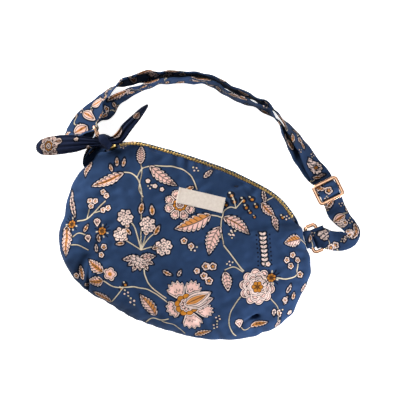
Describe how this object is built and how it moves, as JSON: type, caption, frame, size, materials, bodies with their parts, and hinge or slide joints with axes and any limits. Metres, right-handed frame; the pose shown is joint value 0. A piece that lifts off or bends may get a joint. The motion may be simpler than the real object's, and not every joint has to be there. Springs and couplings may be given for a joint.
{
  "type": "belt bag",
  "caption": "Soft belt bag in flower-printed cotton, zipped along its top edge, with a knotted cloth zip tie, blank label and slide-adjusted cloth strap, laid flat on its back.",
  "frame": {"origin": "on the flat outer face of the back panel, under the middle of the bag", "axes": "+Z out of the bag's front, +Y towards the zip and the strap, X along the bag's length"},
  "size_m": [0.3794, 0.2866, 0.0642],
  "materials": {
    "printed_cotton": "matte printed weave",
    "zip_tape": "matte twill tape",
    "label_cotton": "matte plain weave",
    "zip_brass": "aged satin",
    "rose_gold": "polished"
  },
  "bodies": {
    "root": {"bag_front": "printed_cotton", "bag_back": "printed_cotton", "zip_tie": "printed_cotton", "tab_left": "printed_cotton", "tab_right": "printed_cotton", "strap": "printed_cotton", "zip_tape": "zip_tape", "label": "label_cotton", "zip_teeth": "zip_brass", "zip_slider": "zip_brass", "ring_left": "rose_gold", "ring_right": "rose_gold", "strap_slider": "rose_gold"}
  },
  "joints": []
}
